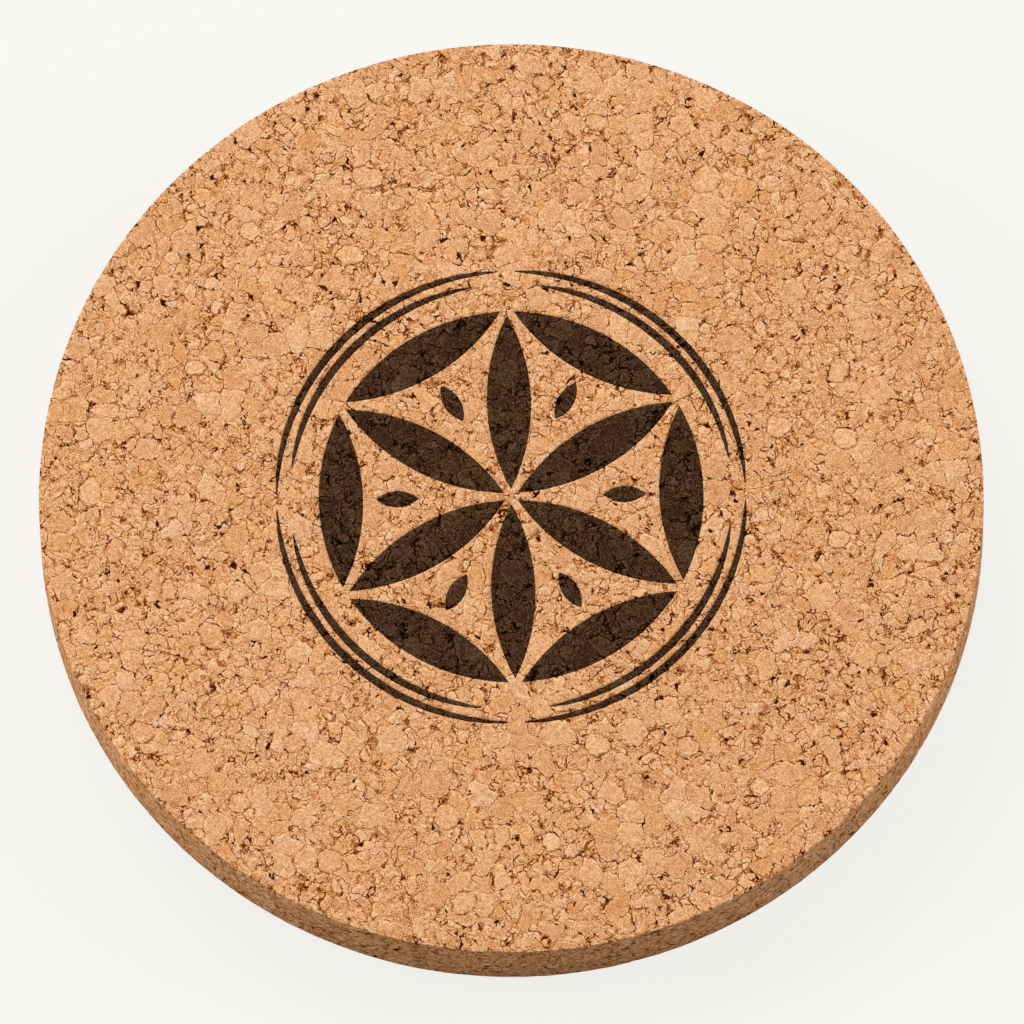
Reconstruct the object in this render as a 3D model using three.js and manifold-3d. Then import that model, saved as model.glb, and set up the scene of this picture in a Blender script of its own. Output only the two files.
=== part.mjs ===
// Round cork coaster: a sawn disc of pressed cork granulate, the coarse chips bonded into its
// top face, and a compass rosette inside a broken double ring, printed on that face in ink.
// Millimetres, +Z up, origin at the centre of the face that lies on the table.
import * as THREE from "three";
import { mergeVertices } from "three/addons/utils/BufferGeometryUtils.js";
import Module from "manifold-3d";

const wasm = await Module();
wasm.setup();

// Disc.
const DISC_DIAMETER = 100;
const DISC_THICKNESS = 10;
const EDGE_RADIUS = 0.5; // wear on the sawn top and bottom edges
const DISC_SIDES = 96;
const EDGE_STEPS = 3;

// Coarse chips in the top face.
const CHIP_DEPTH = 1.4;
const CHIP_SEAM = 0.3; // bond line between a chip and the granulate round it
const CHIP_SIDES = 10;
const CHIP_FOOT_SHARE = 0.5; // a chip's width at its underside, as a share of its width at the face
const CHIP_BELLY_SHARE = 0.86; // the same half way down
const CHIP_UNEVENNESS = 0.07; // how far an outline strays from an ellipse
const CUTTER_RISE = 1; // how far the cutter of a pocket stands above the face

// Print.
const INK_FILM = 0.06;
const ROSETTE_RADIUS = 20.8; // of the circle that the petals' tips lie on
const PETAL_COUNT = 6; // a compass steps six times round its own circle
const PETAL_TRIM = 0.8; // bare cork left at each tip of a petal
const SEED_WIDTH = 1.8;
const SEED_CLEARANCE = 1.4; // bare cork between a seed's tip and the petals round it
const RING_CLEARANCE = 2.2; // from the tip circle to the inner ring
const RING_GAP = 0.55; // bare cork between the inner ring and the outer one
const RING_COUNT = 4; // strokes that each ring is broken into
const INNER_RING_BREAK = 7.4; // bare cork between the ends of two inner strokes
const OUTER_RING_BREAK = 1.8; // and of two outer ones
const STROKE_WIDTH = 0.85; // at the middle of a stroke
const STROKE_TIP = 0.12; // at its two ends
const STROKE_STEPS = 18;
const ARC_STEPS = 12;

// The coarse chips: their place as shares of the disc's radius, then their length, width and the
// turn of the long side from +X, in millimetres and degrees.
const CHIPS = [
  { at: [-0.54, 0.6], long: 2.5, wide: 2.2, turn: 10 },
  { at: [-0.29, 0.71], long: 3.7, wide: 2.7, turn: -15 },
  { at: [-0.33, 0.54], long: 3.0, wide: 2.4, turn: -5 },
  { at: [0.09, 0.91], long: 2.4, wide: 2.0, turn: 5 },
  { at: [0.2, 0.82], long: 2.7, wide: 2.1, turn: -10 },
  { at: [0.43, 0.69], long: 3.7, wide: 3.3, turn: 35 },
  { at: [0.44, 0.55], long: 3.1, wide: 2.1, turn: -25 },
  { at: [0.69, 0.54], long: 2.9, wide: 1.8, turn: 80 },
  { at: [0.7, 0.26], long: 3.0, wide: 2.3, turn: 75 },
  { at: [0.71, 0.11], long: 3.0, wide: 2.7, turn: -30 },
  { at: [0.57, 0.14], long: 3.0, wide: 2.6, turn: 0 },
  { at: [0.69, -0.11], long: 2.5, wide: 2.3, turn: 30 },
  { at: [0.85, -0.31], long: 2.4, wide: 2.1, turn: 40 },
  { at: [0.78, -0.38], long: 1.9, wide: 1.8, turn: 0 },
  { at: [0.51, -0.65], long: 2.3, wide: 2.1, turn: 60 },
  { at: [0.36, -0.56], long: 2.6, wide: 2.4, turn: 20 },
  { at: [0.17, -0.55], long: 3.0, wide: 2.7, turn: -20 },
  { at: [0.07, -0.76], long: 2.2, wide: 2.1, turn: 0 },
  { at: [-0.12, -0.89], long: 3.0, wide: 2.7, turn: 25 },
  { at: [-0.15, -0.7], long: 3.1, wide: 3.0, turn: 15 },
  { at: [-0.4, -0.79], long: 3.1, wide: 2.9, turn: -40 },
  { at: [-0.59, -0.66], long: 2.5, wide: 2.4, turn: 50 },
  { at: [-0.47, -0.53], long: 2.5, wide: 2.4, turn: 0 },
  { at: [-0.57, -0.45], long: 2.3, wide: 1.7, turn: 70 },
  { at: [-0.79, -0.5], long: 3.0, wide: 2.4, turn: -35 },
  { at: [-0.64, -0.29], long: 3.8, wide: 2.4, turn: -55 },
  { at: [-0.73, -0.19], long: 2.5, wide: 1.9, turn: 80 },
  { at: [-0.84, -0.1], long: 2.9, wide: 2.5, turn: 75 },
  { at: [-0.89, 0.03], long: 3.6, wide: 2.6, turn: 80 },
  { at: [-0.66, 0.3], long: 2.5, wide: 1.8, turn: 0 },
];

const DISC_RADIUS = DISC_DIAMETER / 2;
const INNER_RING_RADIUS = ROSETTE_RADIUS + RING_CLEARANCE + STROKE_WIDTH / 2;
const OUTER_RING_RADIUS = INNER_RING_RADIUS + STROKE_WIDTH + RING_GAP;

const granulate = new THREE.MeshStandardMaterial({ color: 0xd69d6c, roughness: 0.9, metalness: 0 });
const paleCork = new THREE.MeshStandardMaterial({ color: 0xe2b083, roughness: 0.85, metalness: 0 });
const darkInk = new THREE.MeshStandardMaterial({ color: 0x462e1d, roughness: 0.8, metalness: 0 });

// A closed geometry as a solid that can be cut.
function solidOf(geometry) {
  const bare = geometry.clone();
  bare.deleteAttribute("normal");
  bare.deleteAttribute("uv");
  const merged = mergeVertices(bare);
  return new wasm.Manifold(
    new wasm.Mesh({
      numProp: 3,
      vertProperties: merged.attributes.position.array,
      triVerts: new Uint32Array(merged.index.array),
    }),
  );
}

function geometryOf(solid) {
  const mesh = solid.getMesh();
  const geometry = new THREE.BufferGeometry();
  geometry.setAttribute("position", new THREE.BufferAttribute(mesh.vertProperties, 3));
  geometry.setIndex(new THREE.BufferAttribute(mesh.triVerts, 1));
  geometry.computeVertexNormals();
  return geometry;
}

// A profile of (radius, height) points turned about +Z.
function turned(profile, sides) {
  return new THREE.LatheGeometry(profile, sides).rotateX(Math.PI / 2);
}

// Points of the disc's rounded edge about one height, between two angles in degrees.
function edgeRound(height, from, to) {
  const centre = new THREE.Vector2(DISC_RADIUS - EDGE_RADIUS, height);
  const points = [];
  for (let step = 0; step <= EDGE_STEPS; step += 1) {
    const angle = THREE.MathUtils.degToRad(from + ((to - from) * step) / EDGE_STEPS);
    const spoke = new THREE.Vector2(Math.cos(angle), Math.sin(angle));
    points.push(spoke.multiplyScalar(EDGE_RADIUS).add(centre));
  }
  return points;
}

function discBlank() {
  const profile = [
    new THREE.Vector2(0, 0),
    ...edgeRound(EDGE_RADIUS, -90, 0),
    ...edgeRound(DISC_THICKNESS - EDGE_RADIUS, 0, 90),
    new THREE.Vector2(0, DISC_THICKNESS),
  ];
  return turned(profile, DISC_SIDES);
}

// A shallow bowl with an uneven outline, its widest plane at z = 0: one chip or, with a margin
// all round and a rise above that plane, the cutter of the pocket that the chip sits in.
function chipBowl(chip, margin, rise) {
  const depth = CHIP_DEPTH + margin;
  const profile = [
    new THREE.Vector2(0, -depth),
    new THREE.Vector2(CHIP_FOOT_SHARE, -depth),
    new THREE.Vector2(CHIP_BELLY_SHARE, -depth / 2),
    new THREE.Vector2(1, 0),
  ];
  if (rise > 0) profile.push(new THREE.Vector2(1, rise));
  profile.push(new THREE.Vector2(0, rise));
  const bowl = turned(profile, CHIP_SIDES);
  const points = bowl.attributes.position;
  const lobe = THREE.MathUtils.degToRad(chip.turn);
  for (let i = 0; i < points.count; i += 1) {
    const angle = Math.atan2(points.getY(i), points.getX(i));
    const uneven = Math.cos(3 * angle + 4 * lobe) - 0.6 * Math.sin(5 * angle - 3 * lobe);
    const reach = 1 + CHIP_UNEVENNESS * uneven;
    points.setX(i, points.getX(i) * (reach * (chip.long / 2) + margin));
    points.setY(i, points.getY(i) * (reach * (chip.wide / 2) + margin));
  }
  return bowl;
}

// Puts an object at a chip's place on the top face.
function settleChip(object, chip) {
  object.position.set(chip.at[0] * DISC_RADIUS, chip.at[1] * DISC_RADIUS, DISC_THICKNESS);
  object.rotation.z = THREE.MathUtils.degToRad(chip.turn);
  object.updateMatrix();
  return object;
}

function discWithPockets() {
  let disc = solidOf(discBlank());
  for (const chip of CHIPS) {
    const cutter = chipBowl(chip, CHIP_SEAM, CUTTER_RISE);
    cutter.applyMatrix4(settleChip(new THREE.Object3D(), chip).matrix);
    disc = disc.subtract(solidOf(cutter));
  }
  const mesh = new THREE.Mesh(geometryOf(disc), granulate);
  mesh.name = "cork_disc";
  return mesh;
}

function coarseChips() {
  const group = new THREE.Group();
  CHIPS.forEach((chip, index) => {
    const mesh = new THREE.Mesh(chipBowl(chip, 0, 0), paleCork);
    mesh.name = `cork_chip_${String(index + 1).padStart(2, "0")}`;
    group.add(settleChip(mesh, chip));
  });
  return group;
}

// A printed island: an outline as thick as the ink film.
function inkMesh(name, shape) {
  const geometry = new THREE.ExtrudeGeometry(shape, {
    depth: INK_FILM,
    bevelEnabled: false,
    curveSegments: ARC_STEPS,
  });
  const mesh = new THREE.Mesh(geometry, darkInk);
  mesh.name = name;
  return mesh;
}

// A pointed oval along X, between two arcs of one radius, with its middle at the origin.
function ovalShape(chord, radius) {
  const reach = Math.sqrt(radius ** 2 - (chord / 2) ** 2);
  const half = Math.asin(chord / 2 / radius);
  const up = Math.PI / 2;
  const shape = new THREE.Shape();
  shape.absarc(0, -reach, radius, up - half, up + half, false);
  shape.absarc(0, reach, radius, -up - half, -up + half, false);
  return shape;
}

function ovalWidth(chord, radius) {
  return 2 * (radius - Math.sqrt(radius ** 2 - (chord / 2) ** 2));
}

// The radius of the two arcs of an oval of a given length and width.
function ovalArcRadius(chord, width) {
  return (chord ** 2 + width ** 2) / (4 * width);
}

// Lays a printed island at a distance from the centre, turned from its bearing by tilt.
function placeOnFace(mesh, bearing, distance, tilt) {
  mesh.position.set(distance * Math.cos(bearing), distance * Math.sin(bearing), 0);
  mesh.rotation.z = bearing + tilt;
  return mesh;
}

// Six petals from the centre to the tip circle, six more from tip to tip, and a seed in the middle
// of each three-cornered field between them.
function rosette() {
  const group = new THREE.Group();
  const sector = (2 * Math.PI) / PETAL_COUNT;
  const chord = ROSETTE_RADIUS - 2 * PETAL_TRIM;
  const petal = ovalShape(chord, ROSETTE_RADIUS);
  const fieldMiddle = ROSETTE_RADIUS / (2 * Math.cos(sector / 2));
  const fieldReach = fieldMiddle * Math.sin(sector / 2) - ovalWidth(chord, ROSETTE_RADIUS) / 2;
  const seedLength = 2 * (fieldReach - SEED_CLEARANCE);
  const seed = ovalShape(seedLength, ovalArcRadius(seedLength, SEED_WIDTH));
  const rimMiddle = ROSETTE_RADIUS * Math.cos(sector / 2);
  for (let k = 0; k < PETAL_COUNT; k += 1) {
    const onTip = Math.PI / 2 + k * sector;
    const betweenTips = onTip + sector / 2;
    const spoke = inkMesh(`print_petal_${k + 1}`, petal);
    const rim = inkMesh(`print_rim_petal_${k + 1}`, petal);
    const grain = inkMesh(`print_seed_${k + 1}`, seed);
    group.add(placeOnFace(spoke, onTip, ROSETTE_RADIUS / 2, 0));
    group.add(placeOnFace(rim, betweenTips, rimMiddle, Math.PI / 2));
    group.add(placeOnFace(grain, betweenTips, fieldMiddle, 0));
  }
  return group;
}

// One stroke of a ring about the origin, centred on +X: widest in the middle, pointed at its ends.
function strokeShape(radius, sweep) {
  const outside = [];
  const inside = [];
  for (let step = 0; step <= STROKE_STEPS; step += 1) {
    const along = step / STROKE_STEPS;
    const angle = (along - 0.5) * sweep;
    const swell = Math.sqrt(Math.sin(Math.PI * along));
    const half = (STROKE_TIP + (STROKE_WIDTH - STROKE_TIP) * swell) / 2;
    const spoke = new THREE.Vector2(Math.cos(angle), Math.sin(angle));
    outside.push(spoke.clone().multiplyScalar(radius + half));
    inside.unshift(spoke.clone().multiplyScalar(radius - half));
  }
  return new THREE.Shape([...outside, ...inside]);
}

function brokenRing(name, radius, gap) {
  const group = new THREE.Group();
  const step = (2 * Math.PI) / RING_COUNT;
  const shape = strokeShape(radius, step - gap / radius);
  for (let k = 0; k < RING_COUNT; k += 1) {
    const stroke = inkMesh(`${name}_${k + 1}`, shape);
    stroke.rotation.z = (k + 0.5) * step;
    group.add(stroke);
  }
  return group;
}

function print() {
  const group = new THREE.Group();
  group.add(rosette());
  group.add(brokenRing("print_ring_inner", INNER_RING_RADIUS, INNER_RING_BREAK));
  group.add(brokenRing("print_ring_outer", OUTER_RING_RADIUS, OUTER_RING_BREAK));
  group.position.z = DISC_THICKNESS;
  return group;
}

const coaster = new THREE.Group();
coaster.name = "cork_coaster";
coaster.add(discWithPockets(), coarseChips(), print());

export default coaster;
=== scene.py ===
"""Looks of a round cork coaster: sawn cork granulate, its coarse chips and a dark printed rosette."""
import math
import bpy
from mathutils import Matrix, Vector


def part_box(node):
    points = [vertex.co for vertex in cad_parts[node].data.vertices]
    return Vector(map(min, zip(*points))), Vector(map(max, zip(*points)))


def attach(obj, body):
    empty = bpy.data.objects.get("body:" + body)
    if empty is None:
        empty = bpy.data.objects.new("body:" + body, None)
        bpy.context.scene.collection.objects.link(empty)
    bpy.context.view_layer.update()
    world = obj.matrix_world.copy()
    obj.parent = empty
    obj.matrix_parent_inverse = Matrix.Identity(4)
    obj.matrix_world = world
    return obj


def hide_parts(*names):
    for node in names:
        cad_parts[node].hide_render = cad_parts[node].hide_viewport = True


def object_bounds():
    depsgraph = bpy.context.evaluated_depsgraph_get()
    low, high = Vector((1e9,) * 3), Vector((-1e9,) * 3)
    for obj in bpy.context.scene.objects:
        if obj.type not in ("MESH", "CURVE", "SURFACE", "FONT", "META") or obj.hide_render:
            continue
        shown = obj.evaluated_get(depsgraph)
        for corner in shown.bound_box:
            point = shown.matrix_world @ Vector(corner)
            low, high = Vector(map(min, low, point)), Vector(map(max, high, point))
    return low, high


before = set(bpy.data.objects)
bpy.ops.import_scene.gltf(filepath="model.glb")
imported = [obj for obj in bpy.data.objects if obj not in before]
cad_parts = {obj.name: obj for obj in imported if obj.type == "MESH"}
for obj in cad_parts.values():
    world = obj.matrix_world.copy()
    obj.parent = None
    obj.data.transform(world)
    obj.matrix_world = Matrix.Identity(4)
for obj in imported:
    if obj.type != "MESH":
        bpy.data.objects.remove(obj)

from types import SimpleNamespace

import bpy
from mathutils import Matrix

CAD_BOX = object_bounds()
MM = 0.001

# The disc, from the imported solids.
DISC_LOW, DISC_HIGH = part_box("cork_disc")
DISC_RADIUS = DISC_HIGH.x
FACE_HEIGHT = DISC_HIGH.z
CHIP_NODES = sorted(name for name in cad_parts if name.startswith("cork_chip_"))
PRINT_NODES = sorted(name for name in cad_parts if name.startswith("print_"))

# Mesh of the disc: squares across its two faces, and rows down its wall. The underside is bridged to the wall
# from some way below its place and then lifted, so that the bridge can't twist.
EDGE_WEAR = 0.1 * MM
EDGE_ROWS = 2
WALL_ROWS = 13
TOP_CELLS = 224
BASE_CELLS = 80
BASE_MARGIN = 0.4 * MM
BRIDGE_DROP = 5.0 * MM
MERGE_DISTANCE = 0.001 * MM
SMOOTH_ANGLE = 50

# How far the print reaches into the disc, and how far the cutters of print and chips stand above it.
PRINT_DEPTH = 0.6 * MM
CUTTER_RISE = 1.0 * MM
FACING_UP = 0.9

# Chips: unevenness of their outlines and width of the seam round them, both in millimetres, the least share
# of that width, how often their outlines are rounded, and which faces count as their sides.
CHIP_WARP = 0.9
CHIP_SEAM = 0.015
LEAST_INSET = 0.1
CHIP_ROUNDING = 2
JOINT_STEEPNESS = 0.7
JOINT_MARGIN = 0.6 * MM

# Specks on the chips: the spacing of their places in millimetres, the share of places without one, and how
# far they and their sides reach, in shares of that spacing.
SPECK_SPACING = 0.6
SPECK_CHOICE = 0.7
SPECK_REACH = 0.2
SPECK_SLOPE = (0.0, 0.08)

# Granulate: sizes of granules in millimetres, the share of each size that stays whole, how much flatter
# granules are than wide, the height at which the pattern is sliced, and how far it is drawn out of shape.
COARSE_SIZE = 2.3
MIDDLE_SIZE = 1.3
FINE_SIZE = 0.55
COARSE_WHOLE = 0.36
MIDDLE_WHOLE = 0.66
FLATNESS = 1.15
SLICE = 3.0
SWAY = 1.2
RIPPLE = 0.5

# Gaps between granules, in millimetres: between which widths each mark fades out, over which width a granule
# rises to its height, and a width out of reach of all of these. Fine granules' gaps count as wider.
LINE_FADE = (0.02, 0.16)
HIGHLIGHT_RIM_FADE = (0.12, 0.38)
HIGHLIGHT_FLECK_FADE = (0.1, 0.45)
PILLOW_RISE = (0.0, 0.5)
OUT_OF_REACH = 9.0
FINE_GAP_COUNT = 2.4

# Bond lines: their weakest and strongest, and their share of that round fine granules.
BOND_STRENGTH = (0.25, 1.0)
FINE_LINE = 0.55

# Pits: the spacing of the places where granules are torn apart and the widest gap there, in millimetres; the
# share of places left whole; how far a tear reaches, opens and stains, in shares of that spacing.
TEARS = (
    {"spacing": 1.3, "widest": 0.32, "shift": (31.0, 17.0, 5.0)},
    {"spacing": 0.8, "widest": 0.24, "shift": (5.0, 29.0, 47.0)},
)
TEAR_CHOICE = 0.3
TEAR_REACH = 0.4
TEAR_OPENING = 0.3
TEAR_STAIN = 0.15

# Width of open joints, and where a pit's side and the stain round it begin and end, in millimetres.
OPEN_JOINT_WIDTH = 0.2
PIT_SLOPE = (0.0, 0.08)
STAIN_FADE = (-0.14, 0.0)

# Levels of noise between which each pattern sets in, how far from the middle level a crease fades out, and
# shifts that keep patterns from falling together.
BOND_NOISE = (0.36, 0.62)
OPEN_JOINT_NOISE = (0.7, 0.84)
NEAR_JOINT_NOISE = (0.55, 0.65)
CREASE_NOISE = (0.45, 0.6)
CREASE_FADE = (0.0, 0.035)
HIGHLIGHT_FLECK_NOISE = (0.55, 0.68)
OUTLINE_NOISE = (0.5, 0.66)
JOINT_NOISE = (0.45, 0.62)
OPEN_JOINT_SHIFT = (7.0, 43.0, 11.0)
CREASE_SHIFT = (13.0, 3.0, 29.0)
SPECK_SHIFT = (3.0, 19.0, 0.0)

# Sawn wall: how far in from the rim its grain begins and is full, in millimetres, and its swing and mean.
WALL_BAND = (0.4, 0.2)
WALL_SWING = 1.5
WALL_MEAN = -0.02

# Tones, from 0 for a finish's darkest shade to 1 for its palest, and what a stained joint takes away.
CORK_TONE = 0.775
CHIP_TONE = 0.81
# The near-black tone inside the pits is painted shade of their hollows.
PIT_PAINTED_SHADE = 0.1
JOINT_STAIN = -0.55

# How strongly a place has to be marked as a joint to be stained beside it, and to count as the joint's side.
BESIDE_JOINT = (0.3, 1.0)
JOINT_SIDES = (0.97, 0.99)

# Dark tones are the roughest: their roughness, and the tones over which it passes into the finish's own.
DARK_ROUGHNESS = 0.98
ROUGH_TONES = (0.3, 1.0)

# Rise of the granules in millimetres, the share of the granulate's height that the mesh takes, and how much
# granules differ in colour.
DOME_RISE = (0.02, 0.08)
RELIEF = 0.5
TINT = 0.03

# Camera.
CAMERA_DISTANCE = 4.0
CAMERA_ELEVATION = 74.05
CAMERA_ROLL = 1.32
CAMERA_LENS = 1329.5
CAMERA_SENSOR = 36.0
CAMERA_REACH = 20.0
CAMERA_AIM = (0.05 * MM, -1.7 * MM)

# Stage: screen colours of the ground as seen and as it lights the coaster, and lamps with place and watts.
BACKGROUND = (248, 247, 243)
FLOOR_BOUNCE = (200, 195, 190)
FLOOR_GLOW = 0.865
FLOOR_SHADE = 0.12
FLOOR_SIZE = 8.0
SKY_LIGHT = 0.32
LAMP_SIZE = 0.7
LAMPS = {
    "key": ((-0.4, 1.06, 1.13), 13.8),
    "left": ((-1.39, 0.3, 0.73), 14.6),
    "right": ((1.39, 0.3, 0.73), 11.3),
}


def colour(red, green, blue):
    """A colour written as it shows on a screen, 0 to 255, in the linear values that Blender takes."""
    linear = []
    for value in (red, green, blue):
        share = value / 255
        linear.append(share / 12.92 if share <= 0.04045 else ((share + 0.055) / 1.055) ** 2.4)
    return (*linear, 1.0)


# Shades of each finish, by tone.
CORK_SHADES = (
    (0.0, colour(22, 4, 0)),
    (0.15, colour(92, 37, 8)),
    (0.3, colour(143, 79, 34)),
    (0.5, colour(186, 119, 66)),
    (0.7, colour(214, 151, 98)),
    (0.8, colour(222, 163, 112)),
    (1.0, colour(241, 199, 155)),
)
INK_SHADES = (
    (0.0, colour(4, 1, 0)),
    (0.5, colour(36, 19, 8)),
    (0.62, colour(53, 32, 17)),
    (0.8, colour(70, 46, 29)),
    (1.0, colour(102, 76, 55)),
)


class Wiring:
    """Adds nodes to a tree; each method but node and feed gives back an output of what it adds."""

    def __init__(self, tree):
        self.tree = tree

    def node(self, kind, **settings):
        node = self.tree.nodes.new(kind)
        for name, value in settings.items():
            setattr(node, name, value)
        return node

    def feed(self, socket, value):
        if isinstance(value, bpy.types.NodeSocket):
            self.tree.links.new(value, socket)
        else:
            socket.default_value = value

    def math(self, operation, *values):
        node = self.node("ShaderNodeMath", operation=operation)
        for socket, value in zip(node.inputs, values):
            self.feed(socket, value)
        return node.outputs[0]

    def vector(self, operation, *values):
        node = self.node("ShaderNodeVectorMath", operation=operation)
        for socket, value in zip(node.inputs, values):
            self.feed(socket, value)
        return node.outputs["Value" if operation in ("DOT_PRODUCT", "LENGTH") else "Vector"]

    def scaled(self, vector, factor):
        node = self.node("ShaderNodeVectorMath", operation="SCALE")
        self.feed(node.inputs["Vector"], vector)
        self.feed(node.inputs["Scale"], factor)
        return node.outputs["Vector"]

    def noise(self, place, per_mm, detail=1.0, output="Fac", distortion=0.0):
        """A cloudy pattern with so many swells to the millimetre, mostly near 0.5."""
        node = self.node("ShaderNodeTexNoise", noise_dimensions="3D")
        self.feed(node.inputs["Vector"], place)
        self.feed(node.inputs["Scale"], per_mm)
        self.feed(node.inputs["Detail"], detail)
        self.feed(node.inputs["Distortion"], distortion)
        return node.outputs[output]

    def line_noise(self, along, per_mm):
        """Parallel stripes of uneven strength."""
        node = self.node("ShaderNodeTexNoise", noise_dimensions="1D")
        self.feed(node.inputs["W"], along)
        self.feed(node.inputs["Scale"], per_mm)
        return node.outputs["Fac"]

    def centred(self, shade):
        """A random colour as a vector about zero."""
        return self.vector("SUBTRACT", shade, (0.5, 0.5, 0.5))

    def drift(self, place, per_mm, detail=1.0):
        """A vector about zero that changes from place to place."""
        return self.centred(self.noise(place, per_mm, detail, output="Color"))

    def cells(self, place, size, feature="F1"):
        """Cells of about the given size: their outputs, with distances in shares of that size."""
        node = self.node("ShaderNodeTexVoronoi", voronoi_dimensions="3D", feature=feature)
        self.feed(node.inputs["Vector"], place)
        self.feed(node.inputs["Scale"], 1 / size)
        return node.outputs

    def parts(self, vector):
        node = self.node("ShaderNodeSeparateXYZ")
        self.feed(node.inputs["Vector"], vector)
        return node.outputs

    def remap(self, value, low, high, to_low=0.0, to_high=1.0, smooth=False):
        node = self.node("ShaderNodeMapRange", interpolation_type="SMOOTHSTEP" if smooth else "LINEAR")
        for socket, amount in zip(node.inputs, (value, low, high, to_low, to_high)):
            self.feed(socket, amount)
        return node.outputs["Result"]

    def mix(self, factor, first, second):
        node = self.node("ShaderNodeMix", data_type="FLOAT")
        self.feed(node.inputs[0], factor)
        self.feed(node.inputs[2], first)
        self.feed(node.inputs[3], second)
        return node.outputs[0]

    def mix_colour(self, factor, first, second):
        node = self.node("ShaderNodeMix", data_type="RGBA")
        self.feed(node.inputs[0], factor)
        self.feed(node.inputs[6], first)
        self.feed(node.inputs[7], second)
        return node.outputs[2]

    def around_zero(self, value, reach):
        """A value from 0 to 1 turned into one from minus half of reach to plus half of it."""
        return self.math("MULTIPLY", self.math("SUBTRACT", value, 0.5), reach)

    def blend(self, start, swings=(), marks=()):
        """A value that swings about its start with some patterns, and to which some marks are added."""
        result = start
        for pattern, reach in swings:
            result = self.math("ADD", result, self.around_zero(pattern, reach))
        for mark, amount in marks:
            result = self.math("ADD", result, self.math("MULTIPLY", mark, amount))
        return result

    def ramp(self, factor, stops):
        node = self.node("ShaderNodeValToRGB")
        elements = node.color_ramp.elements
        while len(elements) < len(stops):
            elements.new(0.5)
        for element, (position, shade) in zip(elements, stops):
            element.position = position
            element.color = shade
        self.feed(node.inputs["Fac"], factor)
        return node.outputs["Color"]

    def seen_directly(self):
        """One where the camera sees a surface, also in a mirror or through glass, and zero for its light."""
        path = self.node("ShaderNodeLightPath").outputs
        seen = self.math("MAXIMUM", path["Is Camera Ray"], path["Is Glossy Ray"])
        return self.math("MAXIMUM", seen, path["Is Transmission Ray"])


# Cork granulate. Places and gaps are in millimetres.

def granule_level(net, place, size):
    """One size of granule: a random colour for each, and the gap to the next one."""
    nearest = net.cells(place, size)
    second = net.cells(place, size, feature="F2")
    gap = net.math("SUBTRACT", second["Distance"], nearest["Distance"])
    return nearest["Color"], net.math("MULTIPLY", gap, size)


def packed_granules(net, spot):
    """Granules of three sizes, each whole or broken into the next size down, and their random values."""
    coarse_colour, coarse_gap = granule_level(net, spot, COARSE_SIZE)
    middle_colour, middle_gap = granule_level(net, spot, MIDDLE_SIZE)
    fine_colour, fine_gap = granule_level(net, spot, FINE_SIZE)
    coarse = net.parts(coarse_colour)
    middle = net.parts(middle_colour)
    fine = net.parts(fine_colour)
    coarse_whole = net.math("LESS_THAN", coarse["X"], COARSE_WHOLE)
    middle_whole = net.math("LESS_THAN", middle["X"], MIDDLE_WHOLE)

    def of_granule(axis):
        small = net.mix(middle_whole, fine[axis], middle[axis])
        return net.mix(coarse_whole, small, coarse[axis])

    def unless(whole, gap):
        """The gap, moved out of reach inside whole granules."""
        return net.math("ADD", gap, net.math("MULTIPLY", whole, OUT_OF_REACH))

    # The fine granules' gaps count as wider than they are, so their lines are the thinnest.
    fine_gap = net.math("MULTIPLY", fine_gap, FINE_GAP_COUNT)
    small_gap = net.math("MINIMUM", middle_gap, unless(middle_whole, fine_gap))
    return SimpleNamespace(
        gap=net.math("MINIMUM", coarse_gap, unless(coarse_whole, small_gap)),
        whole=net.math("MAXIMUM", coarse_whole, middle_whole),
        shade=of_granule("Y"),
        warmth=of_granule("Z"),
        lean=net.centred(middle_colour),
    )


def bond_lines(net, spot, granule):
    """Dark lines of uneven strength between granules, fainter round fine ones, and paler rims beside them,
    which are painted highlights along the granules' edges.
    """
    bond = net.remap(net.noise(spot, per_mm=1.2), *BOND_NOISE, *BOND_STRENGTH)
    line = net.math("MULTIPLY", bond, net.remap(granule.gap, *LINE_FADE, 1.0, 0.0, smooth=True))
    line = net.math("MULTIPLY", line, net.remap(granule.whole, 0.0, 1.0, FINE_LINE, 1.0))
    rim = net.math("MULTIPLY", bond, net.remap(granule.gap, *HIGHLIGHT_RIM_FADE, 1.0, 0.0, smooth=True))
    return line, rim


def pits(net, spot, gap):
    """Pits where granules have come away from each other, and the stain round them."""
    open_joint = net.noise(net.vector("ADD", spot, OPEN_JOINT_SHIFT), per_mm=0.8)
    width = net.remap(open_joint, *OPEN_JOINT_NOISE, 0.0, OPEN_JOINT_WIDTH)
    near = net.remap(open_joint, *NEAR_JOINT_NOISE)
    for tear in TEARS:
        loose = net.cells(net.vector("ADD", spot, tear["shift"]), tear["spacing"])
        reach = net.remap(net.parts(loose["Color"])["X"], TEAR_CHOICE, 1.0, 0.0, TEAR_REACH)
        torn = net.math("SUBTRACT", reach, loose["Distance"])
        width = net.math("MAXIMUM", width, net.remap(torn, 0.0, TEAR_OPENING, 0.0, tear["widest"]))
        near = net.math("MAXIMUM", near, net.remap(torn, -TEAR_STAIN, 0.0))
    inside = net.math("SUBTRACT", width, gap)
    pit = net.remap(inside, *PIT_SLOPE, smooth=True)
    stain = net.math("MULTIPLY", net.remap(inside, *STAIN_FADE, smooth=True), near)
    return pit, stain


def creases(net, spot):
    """Thin folds in the cork, in patches; the tone is darkened along them as painted shade."""
    fold = net.math("ABSOLUTE", net.around_zero(net.noise(spot, per_mm=1.6, distortion=1.2), 1.0))
    patch = net.remap(net.noise(net.vector("ADD", spot, CREASE_SHIFT), per_mm=1.4), *CREASE_NOISE)
    return net.math("MULTIPLY", patch, net.remap(fold, *CREASE_FADE, 1.0, 0.0))


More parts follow.
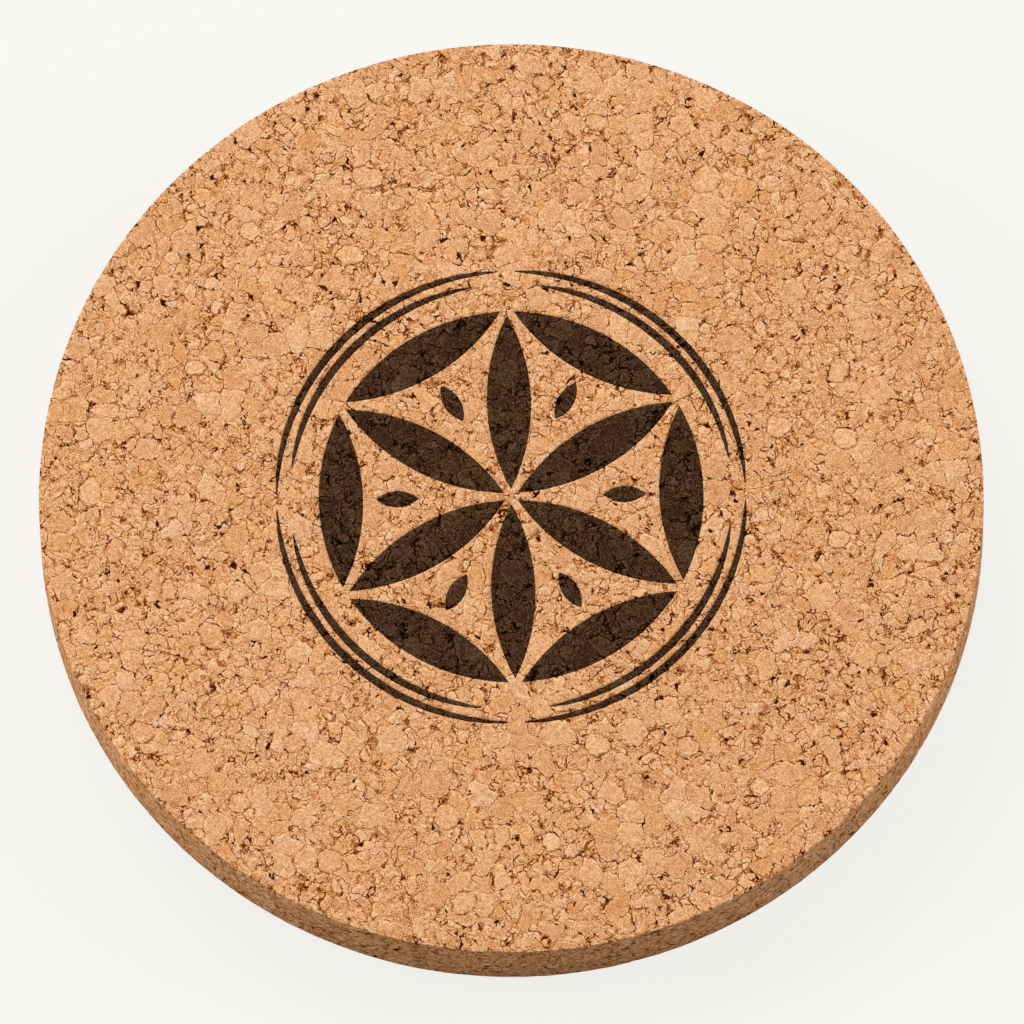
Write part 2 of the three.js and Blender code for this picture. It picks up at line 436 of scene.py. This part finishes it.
def painted_highlights(net, flat, gap):
    """Painted highlights: small pale spots at the granules' edges."""
    near_edge = net.remap(gap, *HIGHLIGHT_FLECK_FADE, 1.0, 0.0)
    return net.math("MULTIPLY", near_edge, net.remap(net.noise(flat, per_mm=4.5), *HIGHLIGHT_FLECK_NOISE))


def wall_grain(net, place):
    """The rougher grain of the sawn wall, about zero, and zero on the two faces."""
    across = net.vector("LENGTH", net.vector("MULTIPLY", place, (1.0, 1.0, 0.0)))
    begin, full = [DISC_RADIUS / MM - inset for inset in WALL_BAND]
    wall = net.remap(across, begin, full)
    grain = net.around_zero(net.noise(place, per_mm=2.0, detail=3.0), WALL_SWING)
    return net.math("MULTIPLY", wall, net.math("ADD", grain, WALL_MEAN))


def granulate(net, place):
    """Granules of three sizes packed together: their tone, warmth and height in mm."""
    flat = net.vector("MULTIPLY_ADD", place, (1.0, 1.0, FLATNESS), (0.0, 0.0, SLICE))
    spot = net.vector("ADD", flat, net.scaled(net.drift(flat, per_mm=0.7), SWAY))
    spot = net.vector("ADD", spot, net.scaled(net.drift(flat, per_mm=2.6), RIPPLE))
    granule = packed_granules(net, spot)
    # The paler rims beside the bond lines are painted highlights along the granules' edges.
    line, rim = bond_lines(net, spot, granule)
    pit, stain = pits(net, spot, granule.gap)
    # Along the creases the tone is darkened as painted shade, and the height dips a little.
    crease = creases(net, spot)
    # Small pale spots at the granules' edges are painted highlights.
    highlight_fleck = painted_highlights(net, flat, granule.gap)
    growth = net.line_noise(net.vector("DOT_PRODUCT", spot, granule.lean), per_mm=9.0)
    # The wrinkles' light and dark strokes in the tone are partly painted shade and highlight, partly the
    # cork's own mottling; they also ripple the height.
    wrinkle = net.noise(spot, per_mm=2.6, detail=3.0, distortion=1.6)
    dust = net.noise(flat, per_mm=9.0, detail=2.0)

    tone = net.blend(
        net.math("ADD", wall_grain(net, place), CORK_TONE),
        swings=((granule.shade, 0.13), (growth, 0.5), (wrinkle, 0.6), (dust, 1.15)),
        marks=((highlight_fleck, 0.34), (rim, 0.12), (line, -0.76), (stain, -0.08), (crease, -0.35)),
    )
    # Inside the pits the tone falls to near black: painted shade of the hollow, which the bump only dents.
    tone = net.mix(pit, tone, net.math("MULTIPLY", dust, PIT_PAINTED_SHADE))
    pillow = net.remap(granule.gap, *PILLOW_RISE, smooth=True)
    dome = net.math("MULTIPLY", pillow, net.remap(granule.shade, 0.0, 1.0, *DOME_RISE))
    height = net.blend(
        net.math("ADD", dome, -DOME_RISE[1]),
        swings=((wrinkle, 0.12),),
        marks=((crease, -0.03), (pit, -0.1)),
    )
    return tone, granule.warmth, height


def chip_face(net, place):
    """The sawn face of one coarse chip: its tone, warmth and height in mm."""
    warmth = net.noise(place, per_mm=0.09, detail=0.0)
    wrinkle = net.noise(place, per_mm=2.2, detail=2.0, distortion=1.6)
    lean = net.drift(place, per_mm=0.05, detail=0.0)
    bend = net.around_zero(net.noise(place, per_mm=0.8, detail=2.0), reach=0.5)
    growth = net.line_noise(net.math("ADD", net.vector("DOT_PRODUCT", place, lean), bend), per_mm=14.0)
    grain = net.noise(place, per_mm=4.0, detail=4.0)
    specks = net.cells(net.vector("ADD", place, SPECK_SHIFT), SPECK_SPACING)
    speck_size = net.remap(net.parts(specks["Color"])["X"], SPECK_CHOICE, 1.0, 0.0, SPECK_REACH)
    inside_speck = net.math("SUBTRACT", speck_size, specks["Distance"])
    speck = net.remap(inside_speck, *SPECK_SLOPE, smooth=True)
    tone = net.blend(
        CHIP_TONE,
        swings=((warmth, 0.3), (growth, 0.3), (grain, 0.8), (wrinkle, 0.8)),
        marks=((speck, -0.3),),
    )
    height = net.blend(0.0, swings=((grain, 0.06), (wrinkle, 0.11)), marks=((speck, -0.06),))
    return tone, warmth, height


def pattern_group(name, pattern):
    """A shader node group that puts out a pattern's tone, warmth and height from Object coordinates."""
    group = bpy.data.node_groups.new(name, "ShaderNodeTree")
    group.interface.new_socket("Place", in_out="INPUT", socket_type="NodeSocketVector")
    for output in ("Tone", "Warmth", "Height"):
        group.interface.new_socket(output, in_out="OUTPUT", socket_type="NodeSocketFloat")
    net = Wiring(group)
    place = net.scaled(net.node("NodeGroupInput").outputs["Place"], 1 / MM)
    end = net.node("NodeGroupOutput")
    for socket, value in zip(end.inputs, pattern(net, place)):
        net.feed(socket, value)
    return group


def surface_group(name, move):
    """A geometry node group that moves a surface; move gives the offset from a place in mm and the normal."""
    group = bpy.data.node_groups.new(name, "GeometryNodeTree")
    for way in ("INPUT", "OUTPUT"):
        group.interface.new_socket("Geometry", in_out=way, socket_type="NodeSocketGeometry")
    net = Wiring(group)
    place = net.scaled(net.node("GeometryNodeInputPosition").outputs[0], 1 / MM)
    normal = net.node("GeometryNodeInputNormal").outputs[0]
    moved = net.node("GeometryNodeSetPosition")
    net.feed(moved.inputs["Geometry"], net.node("NodeGroupInput").outputs[0])
    net.feed(moved.inputs["Offset"], move(net, place, normal))
    net.feed(net.node("NodeGroupOutput").inputs[0], moved.outputs[0])
    return group


def sink_granules(net, place, normal):
    """Lowers a surface by the granulate's height."""
    height = net.math("MINIMUM", granulate(net, place)[2], 0.0)
    return net.scaled(normal, net.math("MULTIPLY", height, RELIEF * MM))


def uneven_outline(inset):
    """Makes outlines uneven, and draws them in by up to an inset in mm."""
    def move(net, place, normal):
        flat = net.vector("MULTIPLY", place, (1.0, 1.0, 0.0))
        sway = net.drift(flat, per_mm=0.8, detail=2.0)
        sway = net.vector("MULTIPLY", sway, (CHIP_WARP, CHIP_WARP, 0.0))
        depth = net.remap(net.noise(flat, per_mm=0.9), *OUTLINE_NOISE, LEAST_INSET * inset, inset)
        draw_in = net.scaled(normal, net.math("MULTIPLY", depth, -1.0))
        draw_in = net.vector("MULTIPLY", draw_in, (1.0, 1.0, 0.0))
        return net.scaled(net.vector("ADD", sway, draw_in), MM)
    return move


# Finishes.

def joint_stain(net, place):
    """The stain along the chips' joints: full on their sides, and uneven on the face beside them."""
    joint = net.node("ShaderNodeAttribute", attribute_name="joint").outputs["Fac"]
    uneven = net.remap(net.noise(net.scaled(place, 1 / MM), per_mm=1.1), *JOINT_NOISE)
    beside = net.math("MULTIPLY", net.remap(joint, *BESIDE_JOINT), uneven)
    return net.math("MAXIMUM", beside, net.remap(joint, *JOINT_SIDES))


def finish(name, group, shades, roughness, bump):
    """A matte finish coloured and roughened by one of the pattern groups, and stained along marked joints."""
    material = bpy.data.materials.new(name)
    material.use_nodes = True
    net = Wiring(material.node_tree)
    shader = material.node_tree.nodes["Principled BSDF"]
    pattern = net.node("ShaderNodeGroup", node_tree=group)
    place = net.node("ShaderNodeTexCoord").outputs["Object"]
    net.feed(pattern.inputs["Place"], place)
    tone = net.blend(pattern.outputs["Tone"], marks=((joint_stain(net, place), JOINT_STAIN),))
    tint = net.node("ShaderNodeHueSaturation")
    net.feed(tint.inputs["Saturation"], net.remap(pattern.outputs["Warmth"], 0.0, 1.0, 1 - TINT, 1 + TINT))
    net.feed(tint.inputs["Color"], net.ramp(tone, shades))
    net.feed(shader.inputs["Base Color"], tint.outputs["Color"])
    rough = net.remap(pattern.outputs["Tone"], *ROUGH_TONES, DARK_ROUGHNESS, roughness)
    net.feed(shader.inputs["Roughness"], rough)
    relief = net.node("ShaderNodeBump")
    net.feed(relief.inputs["Strength"], bump)
    net.feed(relief.inputs["Distance"], MM)
    net.feed(relief.inputs["Height"], pattern.outputs["Height"])
    net.feed(shader.inputs["Normal"], relief.outputs["Normal"])
    shader.inputs["Specular IOR Level"].default_value = 0.0
    return material


# Modelling.

def deselect():
    for thing in bpy.context.selected_objects:
        thing.select_set(False)


def make_active(thing):
    deselect()
    thing.select_set(True)
    bpy.context.view_layer.objects.active = thing


def apply_modifier(thing, kind, **settings):
    modifier = thing.modifiers.new("shape", kind)
    for name, value in settings.items():
        setattr(modifier, name, value)
    make_active(thing)
    bpy.ops.object.modifier_apply(modifier=modifier.name)


def join(things):
    make_active(things[0])
    for thing in things[1:]:
        thing.select_set(True)
    if len(things) > 1:
        bpy.ops.object.join()
    return bpy.context.object


def round_sheet(cells, radius, height):
    """A round sheet of about even squares: a square grid drawn in to a circle."""
    deselect()
    bpy.ops.mesh.primitive_grid_add(x_subdivisions=cells, y_subdivisions=cells, size=2)
    sheet = bpy.context.object
    for vertex in sheet.data.vertices:
        x, y, _ = vertex.co
        vertex.co.x = radius * x * math.sqrt(1 - y * y / 2)
        vertex.co.y = radius * y * math.sqrt(1 - x * x / 2)
        vertex.co.z = height
    return sheet


def wall_rows():
    """Radius and height of each row of the wall, from the top face's rim down to the underside."""
    rows = []
    for step in range(1, EDGE_ROWS + 1):
        turn = math.radians(90 * step / EDGE_ROWS)
        inset = EDGE_WEAR * (1 - math.sin(turn))
        rows.append((DISC_RADIUS - inset, FACE_HEIGHT - EDGE_WEAR * (1 - math.cos(turn))))
    straight = FACE_HEIGHT - 2 * EDGE_WEAR
    for step in range(1, WALL_ROWS + 1):
        rows.append((DISC_RADIUS, FACE_HEIGHT - EDGE_WEAR - straight * step / WALL_ROWS))
    for step in range(1, EDGE_ROWS + 1):
        turn = math.radians(90 * step / EDGE_ROWS)
        rows.append((DISC_RADIUS - EDGE_WEAR * (1 - math.cos(turn)), EDGE_WEAR * (1 - math.sin(turn))))
    return rows


def select_open_rims():
    bpy.ops.mesh.select_mode(type="EDGE")
    bpy.ops.mesh.select_all(action="DESELECT")
    bpy.ops.mesh.select_non_manifold(
        use_wire=False,
        use_multi_face=False,
        use_non_contiguous=False,
        use_verts=False,
    )


def disc_blank():
    """The plain disc, closed, with a mesh fine enough to take the granulate's relief."""
    rim = DISC_RADIUS - EDGE_WEAR
    base = round_sheet(BASE_CELLS, rim - BASE_MARGIN, DISC_LOW.z - BRIDGE_DROP)
    disc = round_sheet(TOP_CELLS, rim, FACE_HEIGHT)
    disc.name = "cork_body"
    bpy.ops.object.mode_set(mode="EDIT")
    select_open_rims()
    radius, height = rim, FACE_HEIGHT
    for next_radius, next_height in wall_rows():
        bpy.ops.mesh.extrude_edges_move(TRANSFORM_OT_translate={"value": (0, 0, next_height - height)})
        share = next_radius / radius
        bpy.ops.transform.resize(value=(share, share, 1), center_override=(0, 0, 0))
        radius, height = next_radius, next_height
    bpy.ops.object.mode_set(mode="OBJECT")
    disc = join([disc, base])
    bpy.ops.object.mode_set(mode="EDIT")
    select_open_rims()
    bpy.ops.mesh.bridge_edge_loops()
    bpy.ops.mesh.select_all(action="SELECT")
    bpy.ops.mesh.normals_make_consistent(inside=False)
    bpy.ops.object.mode_set(mode="OBJECT")
    for vertex in disc.data.vertices:
        vertex.co.z = max(vertex.co.z, DISC_LOW.z)
    return disc


def node_copies(names):
    """Copies of some CAD nodes in one mesh, with their loose triangles merged."""
    copies = []
    for name in names:
        copy = bpy.data.objects.new("cutter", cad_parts[name].data.copy())
        bpy.context.scene.collection.objects.link(copy)
        copies.append(copy)
    cutter = join(copies)
    bpy.ops.object.mode_set(mode="EDIT")
    bpy.ops.mesh.select_all(action="SELECT")
    bpy.ops.mesh.remove_doubles(threshold=MERGE_DISTANCE)
    bpy.ops.object.mode_set(mode="OBJECT")
    return cutter


def print_cutter():
    """The print's outlines as upright solids through the top face."""
    cutter = node_copies(PRINT_NODES)
    middle = (FACE_HEIGHT + CAD_BOX[1][2]) / 2
    for vertex in cutter.data.vertices:
        vertex.co.z = FACE_HEIGHT + CUTTER_RISE if vertex.co.z > middle else FACE_HEIGHT - PRINT_DEPTH
    return cutter


def chip_cutter(inset):
    """The coarse chips with rounder, uneven outlines, drawn up through the top face and in by an inset."""
    cutter = node_copies(CHIP_NODES)
    bpy.ops.object.mode_set(mode="EDIT")
    bpy.ops.mesh.select_mode(type="FACE")
    bpy.ops.mesh.select_all(action="DESELECT")
    bpy.ops.object.mode_set(mode="OBJECT")
    for polygon in cutter.data.polygons:
        polygon.select = polygon.normal.z > FACING_UP
    bpy.ops.object.mode_set(mode="EDIT")
    bpy.ops.mesh.extrude_region_move(TRANSFORM_OT_translate={"value": (0, 0, CUTTER_RISE)})
    bpy.ops.object.mode_set(mode="OBJECT")
    apply_modifier(cutter, "SUBSURF", levels=CHIP_ROUNDING, render_levels=CHIP_ROUNDING)
    apply_modifier(cutter, "NODES", node_group=surface_group("chip_outline", uneven_outline(inset)))
    return cutter


def cut_out(disc, plugs, room):
    """Cuts plugs out of the disc's surface, takes their room out of the disc and gives back the plugs."""
    apply_modifier(plugs, "BOOLEAN", operation="INTERSECT", object=disc, solver="MANIFOLD")
    apply_modifier(disc, "BOOLEAN", operation="DIFFERENCE", object=room, solver="MANIFOLD")
    bpy.data.objects.remove(room)
    make_active(plugs)
    bpy.ops.object.mode_set(mode="EDIT")
    bpy.ops.mesh.select_all(action="SELECT")
    bpy.ops.mesh.separate(type="LOOSE")
    bpy.ops.object.mode_set(mode="OBJECT")
    return list(bpy.context.selected_objects)


def mark_joints(piece):
    """Marks the sides of the coarse chips, or of their pockets in the disc."""
    boxes = [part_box(name) for name in CHIP_NODES]
    mark = piece.data.attributes.new("joint", "FLOAT", "POINT")
    for polygon in piece.data.polygons:
        if abs(polygon.normal.z) > JOINT_STEEPNESS:
            continue
        x, y, _ = polygon.center
        for low, high in boxes:
            across = low.x - JOINT_MARGIN < x < high.x + JOINT_MARGIN
            along = low.y - JOINT_MARGIN < y < high.y + JOINT_MARGIN
            if across and along:
                for index in polygon.vertices:
                    mark.data[index].value = 1.0


def middle_from_above(points):
    """Middle of the box round some points, seen from above."""
    xs = [point.x for point in points]
    ys = [point.y for point in points]
    return (min(xs) + max(xs)) / 2, (min(ys) + max(ys)) / 2


def claim(pieces, nodes, material):
    """Gives each cut piece to the CAD node whose middle it lies nearest, with its name and finish."""
    homes = {name: middle_from_above(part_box(name)) for name in nodes}
    claimed = {}
    for piece in pieces:
        here = middle_from_above([vertex.co for vertex in piece.data.vertices])
        home = min(homes, key=lambda name: math.dist(homes[name], here))
        claimed.setdefault(home, []).append(piece)
    for name, group in claimed.items():
        piece = join(group)
        piece.name = "cork_coaster." + name
        dress(piece, name, material)


def dress(piece, node, material):
    piece.data.materials.clear()
    piece.data.materials.append(material)
    make_active(piece)
    bpy.ops.object.shade_smooth_by_angle(angle=math.radians(SMOOTH_ANGLE))
    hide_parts(node)
    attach(piece, "root")


def coaster():
    grain = pattern_group("cork_grain", granulate)
    chip_grain = pattern_group("chip_grain", chip_face)
    cork = finish("sawn_cork", grain, CORK_SHADES, roughness=0.85, bump=0.65)
    chip = finish("coarse_chip", chip_grain, CORK_SHADES, roughness=0.8, bump=1.0)
    ink = finish("brown_ink", grain, INK_SHADES, roughness=0.75, bump=1.0)

    disc = disc_blank()
    apply_modifier(disc, "NODES", node_group=surface_group("cork_relief", sink_granules))
    print_plugs, print_room = print_cutter(), print_cutter()
    chip_plugs, chip_room = chip_cutter(CHIP_SEAM), chip_cutter(0.0)
    islands = cut_out(disc, print_plugs, print_room)
    claim(islands, PRINT_NODES, ink)
    chips = cut_out(disc, chip_plugs, chip_room)
    for piece in (*chips, disc):
        mark_joints(piece)
    claim(chips, CHIP_NODES, chip)
    dress(disc, "cork_disc", cork)


# Stage.

def floor():
    """A pale floor that shows as the background and keeps the coaster's shadow."""
    deselect()
    bpy.ops.mesh.primitive_plane_add(size=FLOOR_SIZE)
    plane = bpy.context.object
    plane.name = "floor"
    material = bpy.data.materials.new("pale_floor")
    material.use_nodes = True
    net = Wiring(material.node_tree)
    shader = material.node_tree.nodes["Principled BSDF"]
    seen = net.seen_directly()
    shaded = [share * FLOOR_SHADE for share in colour(*BACKGROUND)]
    net.feed(shader.inputs["Base Color"], net.mix_colour(seen, colour(*FLOOR_BOUNCE), shaded))
    net.feed(shader.inputs["Emission Color"], colour(*BACKGROUND))
    net.feed(shader.inputs["Emission Strength"], net.math("MULTIPLY", seen, FLOOR_GLOW))
    shader.inputs["Roughness"].default_value = 1.0
    shader.inputs["Specular IOR Level"].default_value = 0.0
    plane.data.materials.append(material)


def lamp(name, place, watts):
    """A square soft lamp that faces the coaster."""
    deselect()
    bpy.ops.object.light_add(type="AREA", location=place)
    light = bpy.context.object
    light.name = name
    light.data.shape = "SQUARE"
    light.data.size = LAMP_SIZE
    light.data.energy = watts
    x, y, height = place
    tilt = math.atan2(math.hypot(x, y), height)
    light.rotation_euler = (tilt, 0, math.atan2(x, -y))


def sky():
    """Even light from all round, which shows as the background."""
    world = bpy.data.worlds.new("soft_room")
    bpy.context.scene.world = world
    world.use_nodes = True
    net = Wiring(world.node_tree)
    light = (SKY_LIGHT, SKY_LIGHT, SKY_LIGHT, 1.0)
    background = world.node_tree.nodes["Background"]
    net.feed(background.inputs["Color"], net.mix_colour(net.seen_directly(), light, colour(*BACKGROUND)))


def camera():
    tilt = math.radians(90 - CAMERA_ELEVATION)
    roll = math.radians(CAMERA_ROLL)
    aim_x, aim_y = CAMERA_AIM
    place = (
        aim_x,
        aim_y - CAMERA_DISTANCE * math.sin(tilt),
        FACE_HEIGHT + CAMERA_DISTANCE * math.cos(tilt),
    )
    deselect()
    bpy.ops.object.camera_add(location=place)
    view = bpy.context.object
    view.rotation_euler = (Matrix.Rotation(tilt, 3, "X") @ Matrix.Rotation(-roll, 3, "Z")).to_euler()
    view.data.lens = CAMERA_LENS
    view.data.sensor_width = CAMERA_SENSOR
    view.data.clip_end = CAMERA_REACH
    bpy.context.scene.camera = view


def stage():
    floor()
    for name, (place, watts) in LAMPS.items():
        lamp(name, place, watts)
    sky()
    camera()
    bpy.context.scene.view_settings.view_transform = "Standard"


coaster()
stage()
